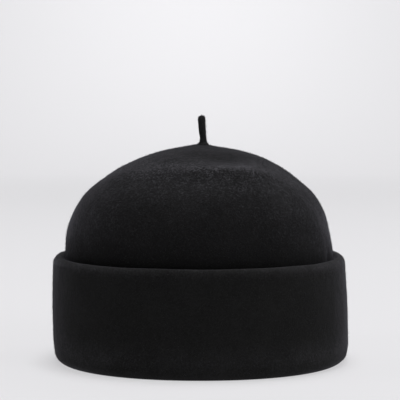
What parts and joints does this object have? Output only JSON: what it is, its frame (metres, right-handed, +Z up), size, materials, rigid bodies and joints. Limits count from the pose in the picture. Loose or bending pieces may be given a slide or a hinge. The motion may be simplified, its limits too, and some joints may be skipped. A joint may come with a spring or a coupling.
{
  "type": "felt hat",
  "caption": "Close-fitting felt cap with a domed crown, a short stalk on top and a tall turned-up cuff doubled over at its rim.",
  "frame": {"origin": "on the floor under the middle of the hat's box", "axes": "+Z up through the crown, -Y towards the front of the wearer, +X across the head"},
  "size_m": [0.1962, 0.2134, 0.1624],
  "materials": {
    "crown_felt": "matte wool felt",
    "cuff_felt": "matte wool felt",
    "stalk_felt": "tight wool felt"
  },
  "bodies": {
    "root": {"crown": "crown_felt", "cuff": "cuff_felt", "stalk": "stalk_felt"}
  },
  "joints": []
}
